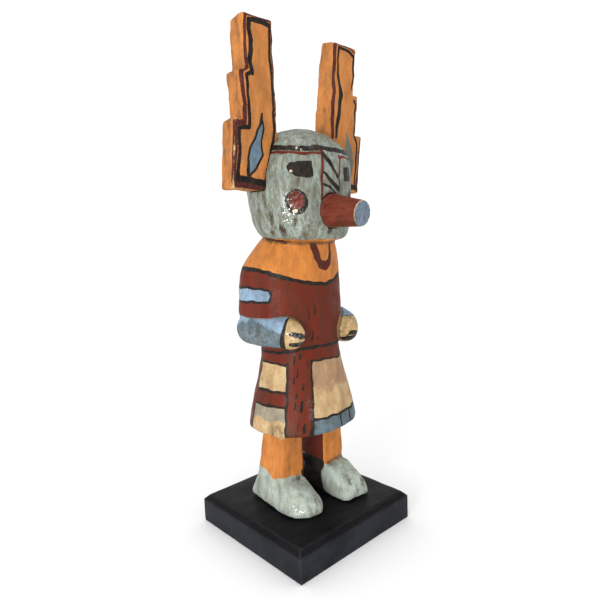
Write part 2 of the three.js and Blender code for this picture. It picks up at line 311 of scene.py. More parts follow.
def dashes(chart):
    return wrapped_strokes(chart, [
        ([(turn + 0.8, top), (turn - 0.4, foot)], [width * 0.7, width])
        for turn, top, foot, width in DASHES
    ])


def armbands(chart):
    return inside_any(*[
        patch(chart, wrapped([(side * turn, height) for turn, height in ARMBAND]))
        for side in (-1, 1)
    ])


def edge_across(height, edge):
    """Where an upright edge runs, across the flat chart, at each height."""
    return at_knots(-height, [(-knot, across) for across, knot in wrapped(edge)])


def dress_lines(chart, angle, right_panel, left_panel, bands):
    on_right = right_panel - LINE_OVERLAP
    on_left = left_panel - LINE_OVERLAP
    return inside_any(
        dashes(chart),
        line_round(chart, angle, NECKLINE, 1.6),
        line_round(chart, angle, BELT_TOP, 1.3),
        inside_all(line_round(chart, angle, BELT_FOOT, 0.9), inside_any(on_right, on_left)),
        inside_all(line_round(chart, angle, PANEL_TOP, 1.1), on_right),
        inside_all(line_round(chart, angle, PANEL_FOOT, 1.0), on_right),
        inside_all(line_round(chart, angle, HEM_LINE, 1.1), on_left),
        np.abs(bands) - ARMBAND_LINE / 2,
        wrapped_strokes(chart, UPRIGHT_LINES),
    )


def dress_fields(points, chart, angle, right_panel, left_panel):
    """The coloured fields of the two panels."""
    height = chart[:, 1]
    under_belt = height - level(angle, BELT_FOOT)
    under_band = height - level(angle, PANEL_FOOT)
    band_between = between(height, level(angle, PANEL_FOOT), level(angle, PANEL_TOP))
    above_grey_foot = above_soft_foot(height, GREY_FOOT, 0.3, 0.7 * wander(points, 7, 31))
    above_shaded_tan_foot = above_soft_foot(height, SHADED_TAN_FOOT, 0.07, 1.5 * wander(points, 12, 32))
    return {
        "tan": inside_any(
            inside_all(right_panel, under_belt, -band_between),
            inside_all(left_panel, under_belt),
        ),
        # Painted shade: a darker copy of the tan under the belt, fading out downwards
        "shaded_tan": inside_all(left_panel, under_belt, above_shaded_tan_foot),
        "grey": inside_all(right_panel, under_band, above_grey_foot),
        "sleeve": inside_all(left_panel, height - level(angle, HEM_LINE)),
    }


def body_paint(points, wobble):
    angle, chart = laid_flat(points, BODY_AXIS_Y, wobble)
    across, height = chart.T
    sash_right = edge_across(height, SASH_RIGHT_EDGE)
    sash_left = edge_across(height, SASH_LEFT_EDGE)
    right_panel = between(across, RIGHT_PANEL_END * ARC_PER_DEGREE, sash_right)
    left_panel = between(across, sash_left, LEFT_PANEL_END * ARC_PER_DEGREE)
    bands = armbands(chart)
    paint = {
        "dress": height - level(angle, NECKLINE),
        **dress_fields(points, chart, angle, right_panel, left_panel),
        "blue": bands,
        "black": dress_lines(chart, angle, right_panel, left_panel, bands),
    }
    on_trunk = between(points[:, 2], TRUNK_FOOT, TRUNK_TOP)
    paint = {name: inside_all(on_trunk, gap) for name, gap in paint.items()}
    necklace = inside_all(points[:, 2] - NECKLACE_TOP, wrapped_strokes(chart, [NECKLACE]))
    paint["maroon"] = inside_any(necklace, wrapped_strokes(chart, [NECK_STROKE]))
    paint["orange"] = np.full(len(points), -FAR)
    return paint


# Painting of the forearms

WRIST_PLACE = (18.5, -10.8)
ARM_FORWARD = (-0.40, -0.92)
ARM_INNER_END = 9
ARM_MARGIN = 1.06
CUFF_FORWARD = 1.1
HAND_OUTER_SIDE = 12.6

# Each arm: the route of its bar, half its thickness both ways, the heights of its middle, the
# line of its cuff, and the dark strokes between its fingers
RIGHT_ARM = {
    "route": [(18.3, 13.5), (20.2, 7.7), (20.3, -2.3), (18.5, -10.8), (14.9, -19.1)],
    "half_across": 4.8,
    "half_up": 6.2,
    "heights": [(-19.1, 74.7), (-10.8, 75.1), (13.5, 75.4)],
    "wrist": [(-7, -0.9), (-4.7, -0.4), (-1.5, 0.2), (1.1, 0.6), (3.4, 1.2), (5.4, 1.4)],
    "fingers": [[(3.2, 1.1), (5.6, 0.4), (7.7, -0.6)], [(3.4, -3.2), (5.5, -3.3), (7.5, -2.9)]],
}
LEFT_ARM = {
    "route": [(18.3, 13.5), (20.2, 7.7), (20.3, -2.3), (17.9, -10.8), (13.7, -19.1)],
    "half_across": 5.7,
    "half_up": 7.4,
    "heights": [(-19.1, 72.2), (-10.8, 72.7), (-2.3, 74.1), (13.5, 75.5)],
    "wrist": [(-7, -0.5), (1, 0.4), (4.4, 1.6), (5.6, 4.6), (7.1, -0.6), (8, -2)],
    "fingers": [[(2.6, 0.8), (5.6, -2.1), (8.6, -0.7)], [(3.0, -4.8), (6.2, -4.2), (7.2, -3.4)]],
}
FINGER_WIDTHS = [1.6, 2.0, 1.6]
CUFF_LINE = [(0, 6), (0, 2), (0, -3), (0, -7)]
CUFF_WIDTHS = [0.9, 1.4, 2.3, 2.4]
BLUE_FOOT_ON_SLEEVE = 3.3


def arm_paint(points, side, wobble):
    """Paint of one arm. Its body is the arm itself, which covers the trunk's paint."""
    arm = RIGHT_ARM if side < 0 else LEFT_ARM
    flat = np.column_stack([points[:, 0] * side, points[:, 1]])
    across = stroke(flat, arm["route"], 0)
    up = points[:, 2] - at_knots(points[:, 1], arm["heights"])
    round_bar = np.hypot(across / arm["half_across"], up / arm["half_up"])
    off_belly = np.where(flat[:, 0] < ARM_INNER_END, FAR, -FAR)
    on_arm = inside_all((round_bar - ARM_MARGIN) * arm["half_across"], off_belly)
    forward = (flat - WRIST_PLACE) @ ARM_FORWARD - CUFF_FORWARD + 0.5 * wobble[:, 0]
    forward = forward - at_knots(up, arm["wrist"])
    hand_chart = np.column_stack([forward, up])
    fingers = inside_any(*[stroke(hand_chart, line, FINGER_WIDTHS) for line in arm["fingers"]])
    fingers = inside_all(HAND_OUTER_SIDE - flat[:, 0], fingers)
    cuff = stroke(hand_chart, CUFF_LINE, CUFF_WIDTHS)
    sleeve = inside_all(on_arm, forward)
    light_top = above_soft_foot(up, BLUE_FOOT_ON_SLEEVE, 0.15, -1.2 * wander(points, 7, 41))
    return {
        "body": on_arm,
        "skin": inside_all(on_arm, -forward),
        "sleeve": sleeve,
        "blue": inside_all(sleeve, light_top),
        "black": inside_all(on_arm, inside_any(cuff, fingers)),
    }


# Painting of the legs and the shoes

LEGS_TOP = 34.5

# Heights of the shoes' top edge: by the place along the foot on its outer side, behind where
# that side starts, and by the place across the foot in front
SHOE_SIDE_FRONT = -4.4
SHOE_TOP_OUTSIDE = [(-4.4, 14.4), (-0.5, 12.5), (2.7, 13.8), (5.9, 14.8), (10.1, 15.6)]
RIGHT_SHOE_TOP = [(5.9, 12.1), (14.7, 14.4)]
LEFT_SHOE_TOP = [(14, 12.8), (18.3, 14.0)]
LEFT_FOOT_FORWARD = 1.3

# The dark inner faces of the legs, and the black low between them: partly a smear of paint and
# partly painted shadow in the gap between the feet
INNER_FACE_SIDE = 6.6
INNER_FACE_FRONT = -6.8
SMEAR_AND_SHADOW_TOP = 14.6
SMEAR_AND_SHADOW_FRONT = [(0.7, -10.7), (1.7, -7.8), (4.5, -6.2), (9.6, -6.0), (13, -7.0)]
SMEAR_AND_SHADOW_SIDE = [(0, 7.5), (4, 8.8)]


def leg_paint(points, wobble):
    across, along, up = points.T
    side = np.abs(across)
    along_foot = along + np.where(across > 0, LEFT_FOOT_FORWARD, 0)
    shoe_front_top = np.where(across > 0, at_knots(side, LEFT_SHOE_TOP),
                              at_knots(side, RIGHT_SHOE_TOP))
    shoe_top = np.where(along_foot > SHOE_SIDE_FRONT, at_knots(along_foot, SHOE_TOP_OUTSIDE),
                        shoe_front_top)
    on_legs = up - LEGS_TOP
    shoe = inside_all(up + wobble[:, 1] - shoe_top, on_legs)
    inner_face = inside_all(side - INNER_FACE_SIDE, on_legs, -shoe, INNER_FACE_FRONT - along)
    behind_front = at_knots(up, SMEAR_AND_SHADOW_FRONT) - along + 0.5 * wander(points, 4, 44)
    # Black low between the feet: partly a smear of paint, partly painted shadow of the gap
    smear_and_shadow = inside_all(side - at_knots(along, SMEAR_AND_SHADOW_SIDE), up - SMEAR_AND_SHADOW_TOP, behind_front)
    return {"shoe": shoe, "dress": inner_face, "black": smear_and_shadow}


# Colour layers, from the first coat to the last

FIGURE_WOBBLE = 0.22
FIGURE_LAYERS = ["orange", "dress", "tan", "shaded_tan", "green", "shoe", "sleeve", "grey", "blue",
                 "skin", "red", "maroon", "black", "chip_and_glint"]


def figure_paint(points):
    """The gap of each colour layer."""
    wobble = np.column_stack([wander(points, 5, 11), wander(points, 5, 12)]) * FIGURE_WOBBLE
    gaps = {name: np.full(len(points), FAR) for name in FIGURE_LAYERS}

    def lay(paint):
        for name, gap in paint.items():
            gaps[name] = inside_any(gaps[name], gap)

    lay(body_paint(points, wobble))
    lay(leg_paint(points, wobble))
    for side in (-1, 1):
        arm = arm_paint(points, side, wobble)
        off_arm = -arm.pop("body")
        for name in FIGURE_LAYERS[1:]:
            gaps[name] = inside_all(gaps[name], off_arm)
        lay(arm)
    lay(head_paint(points, wobble))
    return gaps


# Painting of the tablets

TABLET_WOBBLE = 0.2

# Places of the paint are across, out from the figure's middle, and up, from the tablet's foot.
# Each line has its knots and its width, or a width for each knot. The wood's own knots are
# places on the figure, and the side grime is how dirty the edges are.
RIGHT_TABLET = {
    "maroon": [
        ([(17.6, 58.9), (23, 59.0), (29.6, 58.8), (29.8, 55.2), (29.9, 49.2), (29.4, 42.0)], 1.2),
        ([(29.6, 41.0), (32.0, 40.1), (31.8, 36.6), (31.2, 32.6), (30.4, 28.6), (30.7, 23.3)], 1.7),
        ([(30.9, 22.9), (35.0, 22.6), (35.0, 17.6), (35.7, 11.3), (36.3, 2.7)], 2.0),
        ([(35.5, 1.5), (29.5, 0.8), (22.4, 0.0)], 2.2),
        ([(17.6, 58.4), (17.6, 51), (17.1, 45), (16.6, 39), (16.0, 32), (15.7, 26)], 0.9),
    ],
    "black": [
        ([(28.0, 57.0), (28.0, 53.6), (27.3, 50.5), (27.4, 47.2), (27.9, 43.9), (27.3, 39.7)], 2.0),
        ([(27.3, 39.7), (29.9, 38.6), (29.1, 35.0), (28.7, 30.9), (28.7, 26.7), (28.5, 21.4)], 1.4),
        ([(28.5, 21.4), (33.2, 20.9), (33.3, 15.7), (33.8, 9.3), (34.4, 3.5)], 1.6),
        ([(34.4, 3.5), (28.8, 3.0), (21.9, 2.2)], 2.5),
        ([(27.8, 57.0), (23.4, 57.7), (20.5, 57.6), (19.0, 57.3)], 1.8),
        ([(18.7, 56.9), (18.8, 51.5), (18.3, 45.3), (17.8, 38.9), (17.2, 32.5), (16.9, 26.0),
          (16.4, 21.2), (17.9, 16.1), (19.6, 10.2), (21.6, 3.3)], 1.2),
        ([(22.7, 26.4), (23.2, 24.4), (24.4, 21.6), (26.4, 17.6), (28.6, 14.0), (29.5, 9.9),
          (29.6, 6.4), (28.7, 2.8)], [1.2, 1.5, 0.8, 0.9, 1.0, 1.2, 1.4, 1.9]),
        ([(22.8, 24.6), (22.0, 21.6), (23.3, 17.0), (22.8, 12.2), (24.4, 9.3), (26.4, 6.8),
          (28.9, 4.4)], 0.9),
    ],
    "feather": [(22.8, 24.6), (22.0, 21.6), (23.3, 17.0), (22.8, 12.2), (24.4, 9.3), (26.4, 6.8),
                (29.2, 4.6), (29.6, 6.4), (29.5, 9.9), (28.6, 14.0), (26.4, 17.6), (24.4, 21.6)],
    "knots": [(-31.5, -4.6, 160.5), (-30.0, -4.0, 178.0), (-34.8, -3.6, 139.0)],
    "side_grime": 0.6,
}
LEFT_TABLET = {
    "maroon": [
        ([(17.6, 58.4), (17.3, 54.6), (17.0, 49.8), (16.7, 44.7), (17.0, 39.9), (16.5, 34.9),
          (16.3, 30), (16.2, 22)], 1.7),
        ([(17.8, 59.2), (23.4, 59.2), (27.6, 58.6), (30.3, 57.4)], 0.9),
        ([(30.6, 57.6), (30.6, 50), (30.2, 42)], 1.0),
        ([(32.4, 40), (32.3, 31), (32.4, 24)], 0.9),
        ([(34.6, 22.4), (33.8, 16.3), (33.1, 8.2), (32.0, 0.6)], 1.5),
    ],
    "black": [
        ([(19.8, 57.9), (23.0, 57.8), (26.2, 57.2), (29.4, 56.0)], [1.3, 1.2, 1.5, 1.6]),
        ([(19.8, 57.7), (19.1, 52.3), (19.3, 47.5), (20.6, 42.8), (21.2, 39.5), (20.7, 34.5),
          (19.9, 30.4), (18.9, 26.3), (18.4, 22.2)], [1.2, 1.1, 1.2, 1.9, 2.4, 2.2, 2.1, 1.6, 1.3]),
        ([(29.4, 55.7), (29.2, 51.7), (28.9, 46.7), (28.4, 42.6)], [1.6, 1.1, 1.0, 0.8]),
        ([(29.7, 38.2), (30.8, 36.8), (30.6, 31.7), (30.6, 26.5), (31.1, 22.4), (32.1, 17.2),
          (31.3, 10.8), (30.8, 1.1)], 1.1),
        ([(31.4, 2.2), (24, 2.0)], 2.3),
    ],
    "feather": [(24.7, 26.0), (26.4, 22.5), (28.6, 18.0), (30.2, 12.9), (29.2, 9.6), (28.4, 5.9),
                (26.6, 8.0), (25.0, 12.0), (24.2, 18.2)],
    "knots": [(14.8, -5.4, 163.5), (15.6, -3.0, 176.0)],
    "side_grime": 0.25,
}


def tablet_depth(points):
    """Millimetres behind the leaning front of the tablets."""
    return points[:, 1] - TABLET_FRONT_Y + TABLET_LEAN * (points[:, 2] - TABLET_FOOT)


def tablet_paint(points, marks, side):
    """The front's paint, which ends just round its edges. The right feather is blue."""
    wobble = np.column_stack([wander(points, 8, 21 + side), wander(points, 6, 24 + side)])
    chart = np.column_stack([points[:, 0] * side, points[:, 2] - TABLET_FOOT])
    chart = chart + wobble * TABLET_WOBBLE
    off_front = np.maximum(tablet_depth(points), 0)

    def on_front(gap):
        return np.hypot(np.maximum(gap + 1, 0), off_front) - 1

    def lines(name):
        return inside_any(*[stroke(chart, knots, widths) for knots, widths in marks[name]])

    nowhere = np.full(len(points), FAR)
    feather = on_front(patch(chart, marks["feather"]))
    return {
        "orange": -nowhere,
        "blue": feather if side < 0 else nowhere,
        "grey": nowhere if side < 0 else feather,
        "maroon": on_front(lines("maroon")),
        "black": on_front(lines("black")),
    }


# Meshes

def settle(piece):
    """Makes the piece's modifiers part of its mesh."""
    bpy.context.view_layer.update()
    shaped = piece.evaluated_get(bpy.context.evaluated_depsgraph_get())
    mesh = bpy.data.meshes.new_from_object(shaped)
    piece.modifiers.clear()
    piece.data = mesh


def carved_copy(node, voxel, smoothing):
    """A finely meshed copy of a solid, its sharp edges eased by the knife and by handling."""
    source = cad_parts[node]
    piece = bpy.data.objects.new("carved_" + node, source.data.copy())
    piece.data.materials.clear()
    bpy.context.scene.collection.objects.link(piece)
    skin = piece.modifiers.new("skin", "REMESH")
    skin.mode = "VOXEL"
    skin.voxel_size = voxel * MM
    eased = piece.modifiers.new("eased", "SMOOTH")
    eased.factor = 0.5
    eased.iterations = smoothing
    settle(piece)
    piece.data.shade_smooth()
    return piece


def neighbour_means(mesh, values, rounds):
    """Each point's value averaged with its neighbours', that many times over."""
    edges = np.empty(len(mesh.edges) * 2, dtype=np.int32)
    mesh.edges.foreach_get("vertices", edges)
    first, second = edges.reshape(-1, 2).T
    count = len(values)
    degree = np.bincount(first, minlength=count) + np.bincount(second, minlength=count)
    for _ in range(rounds):
        total = np.column_stack([
            np.bincount(first, column[second], count) + np.bincount(second, column[first], count)
            for column in values.T
        ])
        values = total / np.maximum(degree, 1)[:, None]
    return values


def eased_points(mesh, points, rounds, share):
    """The points moved towards their neighbours, each by its share, from 0 to 1."""
    eased = neighbour_means(mesh, points, rounds)
    return points + (eased - points) * share[:, None]


def standing_proud(piece, rounds):
    """Millimetres that each point stands out of its surroundings: edges above, creases below."""
    mesh = piece.data
    points = read_vectors(mesh, "co")
    away = points - neighbour_means(mesh, points, rounds)
    return np.einsum("ij,ij->i", away, read_vectors(mesh, "normal")) / MM


def write_points(piece, points):
    piece.data.vertices.foreach_set("co", points.astype(np.float32).ravel())
    piece.data.update()


def hollow(piece, depths):
    """Moves the surface inward by a depth, in millimetres, at each point."""
    points = read_vectors(piece.data, "co")
    normals = read_vectors(piece.data, "normal")
    write_points(piece, points - normals * (depths * MM)[:, None])


def uneven(piece, depth, wavelength, seed):
    """Hollows the surface here and there, as a knife leaves it; below zero fills it out."""
    points = in_figure(read_vectors(piece.data, "co"))
    hollow(piece, depth * (0.5 + 0.5 * np.clip(wander(points, wavelength, seed), -1, 1)))


def keep_values(piece, values):
    """Writes a named number for each point of the mesh, for the material to read."""
    for name, numbers in values.items():
        layer = piece.data.attributes.new(name, "FLOAT", "POINT")
        layer.data.foreach_set("value", np.asarray(numbers, dtype=np.float32))


# Material nodes

class Mix:
    """A material under construction. Its lengths are in millimetres."""

    def __init__(self, name):
        self.material = bpy.data.materials.new(name)
        self.material.use_nodes = True
        self.tree = self.material.node_tree
        self.tree.nodes.clear()
        self.output = self.tree.nodes.new("ShaderNodeOutputMaterial")
        place = self.tree.nodes.new("ShaderNodeTexCoord").outputs["Object"]
        self.place = self.vector("MULTIPLY", place, (1 / MM, 1 / MM, 1 / MM))

    def add(self, kind, inputs=(), **settings):
        node = self.tree.nodes.new(kind)
        for key, value in settings.items():
            setattr(node, key, value)
        for key, value in dict(inputs).items():
            if isinstance(value, bpy.types.NodeSocket):
                self.tree.links.new(value, node.inputs[key])
            else:
                node.inputs[key].default_value = value
        return node

    def vector(self, operation, first, second):
        inputs = {0: first, 1: second}
        return self.add("ShaderNodeVectorMath", inputs, operation=operation).outputs["Vector"]

    def math(self, operation, first, second, clamp=False):
        inputs = {0: first, 1: second}
        return self.add("ShaderNodeMath", inputs, operation=operation, use_clamp=clamp).outputs[0]

    def times(self, value, weight):
        return self.math("MULTIPLY", value, weight)

    def plus(self, first, second, clamp=False):
        return self.math("ADD", first, second, clamp)

    def value(self, name):
        return self.add("ShaderNodeAttribute", attribute_name=name).outputs["Fac"]

    def noise(self, wavelength, stretch=(1, 1, 1), detail=3.0, roughness=0.55, shift=0.0):
        place = self.vector("MULTIPLY", self.place, tuple(1 / along for along in stretch))
        place = self.vector("ADD", place, (shift, shift * 0.7, shift * 1.3))
        inputs = {"Vector": place, "Scale": 1 / wavelength, "Detail": detail,
                  "Roughness": roughness}
        return self.add("ShaderNodeTexNoise", inputs).outputs["Fac"]

    def ramp(self, value, low, high, start=0.0, end=1.0):
        inputs = {"Value": value, "From Min": low, "From Max": high, "To Min": start,
                  "To Max": end}
        node = self.add("ShaderNodeMapRange", inputs, interpolation_type="SMOOTHSTEP")
        return node.outputs["Result"]

    def blend(self, share, below, above):
        node = self.add("ShaderNodeMix", data_type="RGBA")
        for socket, value in zip((node.inputs[0], node.inputs[6], node.inputs[7]),
                                 (share, below, above)):
            if isinstance(value, bpy.types.NodeSocket):
                self.tree.links.new(value, socket)
            else:
                socket.default_value = value
        return node.outputs[2]

    def tint(self, first, second, streak, wavelength, stretch, shift=0.0):
        """Two shades of one paint, mottled, with thin streaks of a third."""
        share = self.ramp(self.noise(wavelength, stretch, 5.0, 0.6, shift), 0.38, 0.62)
        thin = self.noise(wavelength * 0.3, stretch, 4.0, 0.65, shift + 5)
        color = self.blend(share, first, second)
        return self.blend(self.ramp(thin, 0.5, 0.7, 0.0, 0.75), color, streak)

    def relief(self, height):
        """The surface's direction with a relief, in millimetres, on it."""
        inputs = {"Height": height, "Strength": 1.0, "Distance": MM}
        return self.add("ShaderNodeBump", inputs).outputs["Normal"]

    def finished(self, inputs):
        """The material, with these inputs of its shader."""
        shader = self.add("ShaderNodeBsdfPrincipled", inputs)
        self.tree.links.new(shader.outputs[0], self.output.inputs["Surface"])
        return self.material


def shade(red, green, blue):
    return (red, green, blue, 1.0)


# Paints and materials

# Ways that a brush draws a pattern out, across, along and up
STREAKY = (0.6, 0.6, 3.5)
BRUSHED = (0.9, 0.9, 2.4)
SOFT = (1.2, 1.2, 1.6)
SNOUT_BRUSH = (0.9, 2.4, 0.9)

# Millimetres: half the soft edge of a coat, its thickness, and the depths of the brush marks in
# the paint and of the grain in the base
COAT_EDGE = 0.09
COAT_THICKNESS = 0.012
BRUSH_DEPTH = 0.09
GRAIN_DEPTH = 0.09

# Each paint: two mottled shades, a streak colour, the size of its mottling in millimetres and
# the way that the brush drew it out
BARE_WOOD = (shade(0.56, 0.42, 0.22), shade(0.42, 0.28, 0.12), shade(0.26, 0.17, 0.08), 2.0,
             STREAKY)
FIGURE_COLORS = {
    "orange": (shade(0.55, 0.200, 0.042), shade(0.47, 0.165, 0.038), shade(0.36, 0.13, 0.04), 4.0,
               BRUSHED),
    "dress": (shade(0.128, 0.018, 0.008), shade(0.108, 0.022, 0.012), shade(0.080, 0.018, 0.011),
              4.0, BRUSHED),
    "tan": (shade(0.50, 0.36, 0.190), shade(0.42, 0.27, 0.135), shade(0.32, 0.195, 0.100), 5.0,
            SOFT),
    # A darker copy of the tan: painted shade
    "shaded_tan": (shade(0.36, 0.225, 0.130), shade(0.31, 0.185, 0.100), shade(0.42, 0.285, 0.170),
             4.0, SOFT),
    "green": (shade(0.235, 0.275, 0.240), shade(0.155, 0.155, 0.110), shade(0.32, 0.38, 0.37),
              2.0, BRUSHED),
    "shoe": (shade(0.35, 0.40, 0.350), shade(0.295, 0.320, 0.260), shade(0.42, 0.48, 0.47), 3.5,
             SOFT),
    "sleeve": (shade(0.100, 0.138, 0.162), shade(0.078, 0.096, 0.096), shade(0.15, 0.22, 0.27),
               2.0, SOFT),
    "grey": (shade(0.24, 0.215, 0.165), shade(0.30, 0.25, 0.17), shade(0.17, 0.15, 0.11), 2.5,
             SOFT),
    "blue": (shade(0.215, 0.320, 0.430), shade(0.17, 0.235, 0.31), shade(0.29, 0.38, 0.46), 2.2,
             SOFT),
    "skin": (shade(0.50, 0.36, 0.18), shade(0.37, 0.24, 0.105), shade(0.20, 0.125, 0.05), 1.6,
             SOFT),
    "red": (shade(0.140, 0.022, 0.014), shade(0.100, 0.018, 0.013), shade(0.08, 0.018, 0.014),
            2.0, SOFT),
    "maroon": (shade(0.085, 0.012, 0.008), shade(0.060, 0.012, 0.009), shade(0.12, 0.030, 0.016),
               2.0, SOFT),
    "black": (shade(0.008, 0.0075, 0.0075), shade(0.018, 0.015, 0.013),
              shade(0.05, 0.042, 0.034), 1.5, SOFT),
    # Pale chips, also used as painted highlights where the varnish glints
    "chip_and_glint": (shade(0.66, 0.60, 0.46), shade(0.55, 0.48, 0.34), shade(0.40, 0.33, 0.20), 1.0,
             SOFT),
}
TABLET_COLORS = {
    "orange": (shade(0.50, 0.190, 0.050), shade(0.42, 0.158, 0.044), shade(0.28, 0.145, 0.07),
               5.0, BRUSHED),
    "blue": (shade(0.120, 0.175, 0.220), shade(0.095, 0.140, 0.185), shade(0.15, 0.21, 0.26), 3.0,
             SOFT),
    "grey": (shade(0.125, 0.155, 0.145), shade(0.150, 0.145, 0.105), shade(0.11, 0.15, 0.17), 3.0,
             SOFT),
    "maroon": (shade(0.085, 0.018, 0.015), shade(0.055, 0.014, 0.013), shade(0.13, 0.055, 0.04),
               1.2, SOFT),
    "black": (shade(0.008, 0.007, 0.007), shade(0.016, 0.014, 0.012), shade(0.05, 0.038, 0.026),
              1.2, SOFT),
}
SNOUT_COLORS = {
    "red": (shade(0.150, 0.030, 0.016), shade(0.110, 0.019, 0.011), shade(0.17, 0.050, 0.03), 2.6,
            SNOUT_BRUSH),
    "blue": (shade(0.150, 0.195, 0.25), shade(0.105, 0.135, 0.18), shade(0.25, 0.29, 0.32), 1.0,
             SOFT),
}
# Brown of the dirt, also used for painted shade in the creases, under the snout and on the snout's
# underside
DIRT_AND_SHADE = shade(0.052, 0.036, 0.019)
PAINT_SPECULAR = 0.06
BASE_BLACK = (shade(0.002, 0.002, 0.0025), shade(0.006, 0.006, 0.007))
# The upright sides' lighter, bluer black: painted sheen
BASE_SIDE_SHEEN = (shade(0.008, 0.009, 0.012), shade(0.018, 0.020, 0.026))
BASE_GRAIN = shade(0.011, 0.011, 0.013)
BASE_RUBBED = shade(0.030, 0.030, 0.034)
BASE_DUST = shade(0.07, 0.068, 0.065)
BASE_SPECULAR = 0.07


def soiled_and_shaded(mix, color, ragged):
    """The colour under stains, specks and dirt and under painted shade, darker in the creases, with
    an uneven patina.
    """
    stain = mix.ramp(mix.noise(4.0, BRUSHED, 6.0, 0.65, 4.0), 0.42, 0.72)
    speck = mix.ramp(mix.noise(0.7, roughness=0.6, shift=7.0), 0.64, 0.74)
    dirt = mix.plus(mix.times(stain, 0.75), mix.times(speck, 0.6))
    dirt = mix.times(dirt, mix.value("dirt_and_shade"))
    # Painted shade: the creases are darkened with the dirt's brown
    creased = mix.plus(mix.value("proud"), mix.times(ragged, 0.08))
    crease_shade = mix.ramp(creased, -0.05, -0.2)
    dirt = mix.plus(dirt, mix.times(crease_shade, 0.6), clamp=True)
    patina = mix.ramp(mix.noise(8.0, (1, 1, 2), 3.0, 0.5, 14.0), 0.3, 0.7, 0.86, 1.1)
    return mix.vector("MULTIPLY", mix.blend(dirt, color, DIRT_AND_SHADE), patina)


def painted_material(name, layers, colors):
    """Coats of paint over bare wood, each with a hand-brushed edge, then wear, dirt and painted
    shade.
    """
    mix = Mix(name)
    ragged = mix.math("SUBTRACT", mix.noise(0.9, detail=4.0, roughness=0.7), 0.5)
    brushed = mix.math("SUBTRACT", mix.noise(0.6, STREAKY, shift=9), 0.5)
    edge_noise = mix.plus(mix.times(ragged, 0.5), mix.times(brushed, 0.3))
    wood = mix.tint(*BARE_WOOD)
    color = wood
    height = mix.times(brushed, BRUSH_DEPTH)
    for place, layer in enumerate(layers):
        gap = mix.plus(mix.value(layer), edge_noise)
        cover = mix.ramp(gap, -COAT_EDGE, COAT_EDGE, 1.0, 0.0)
        color = mix.blend(cover, color, mix.tint(*colors[layer], shift=3.0 * place))
        height = mix.plus(height, mix.times(cover, COAT_THICKNESS))
    worn = mix.plus(mix.value("wear"), mix.times(ragged, 0.22))
    color = mix.blend(mix.ramp(worn, 0.16, 0.26), color, wood)
    return mix, soiled_and_shaded(mix, color, ragged), height


def finish_paint(mix, color, height, coat, rough):
    """The painted material, with the gloss of its coat and the fine relief of the brush."""
    fine = mix.times(mix.noise(0.45, detail=4.0, roughness=0.65, shift=2.0), 0.022)
    broad = mix.times(mix.noise(2.6, detail=2.0, shift=6.0), 0.12)
    normal = mix.relief(mix.plus(height, mix.plus(fine, broad)))
    return mix.finished({
        "Base Color": color,
        "Roughness": mix.ramp(mix.noise(4.0, shift=8.0), 0.35, 0.65, *rough),
        "Specular IOR Level": PAINT_SPECULAR,
        "Coat Weight": coat,
        "Coat Roughness": 0.1,
        "Coat IOR": 1.9,
        "Normal": normal,
        "Coat Normal": normal,
    })


def figure_material():
    """Paint with lumps and beads of varnish where the gloss is."""
    mix, color, height = painted_material("figure_paint", FIGURE_LAYERS, FIGURE_COLORS)
    glossy = mix.value("gloss")
    lumps = mix.times(mix.noise(2.2, detail=2.0, shift=3.0), 0.32)
    height = mix.plus(height, mix.times(lumps, glossy))
    beads = mix.ramp(mix.noise(1.1, detail=2.0, shift=21.0), 0.47, 0.55)
    coat = mix.plus(mix.times(beads, glossy), 0.02, clamp=True)
    return finish_paint(mix, color, height, coat, rough=(0.38, 0.6))


def tablet_material():
    mix, color, height = painted_material("tablet_paint", list(TABLET_COLORS), TABLET_COLORS)
    return finish_paint(mix, color, height, coat=0.01, rough=(0.5, 0.7))


def snout_material():
    mix, color, height = painted_material("snout_paint", list(SNOUT_COLORS), SNOUT_COLORS)
    return finish_paint(mix, color, height, coat=0.03, rough=(0.4, 0.6))


def base_material():
    """Black paint over grain, its upright sides painted greyer and bluer as a painted sheen, with
    rubbed edges and a little dust.
    """
    mix = Mix("base_paint")
    grain = mix.noise(0.6, (12, 1, 1), 4.0, 0.6)
    cloud = mix.noise(9.0, detail=4.0)
    black = mix.blend(mix.ramp(cloud, 0.3, 0.7), *BASE_BLACK)
    side_sheen = mix.blend(mix.ramp(cloud, 0.35, 0.65), *BASE_SIDE_SHEEN)
    # Painted sheen: the upright sides are lighter and bluer than the top
    color = mix.blend(mix.ramp(mix.value("side"), 0.6, 0.95), black, side_sheen)
    color = mix.blend(mix.ramp(grain, 0.50, 0.66, 0.0, 0.8), color, BASE_GRAIN)
    rubbed = mix.plus(mix.value("proud"), mix.times(mix.noise(1.1), 0.1))
    color = mix.blend(mix.ramp(rubbed, 0.12, 0.2, 0.0, 0.4), color, BASE_RUBBED)
    dust = mix.ramp(mix.noise(0.5, detail=2.0, shift=5.0), 0.70, 0.76, 0.0, 0.5)
    fine = mix.times(mix.noise(0.4), 0.04)
    return mix.finished({
        "Base Color": mix.blend(dust, color, BASE_DUST),
        "Roughness": mix.ramp(cloud, 0.3, 0.7, 0.36, 0.52),
        "Specular IOR Level": BASE_SPECULAR,
        "Normal": mix.relief(mix.plus(mix.times(grain, GRAIN_DEPTH), fine)),
    })


# Pieces

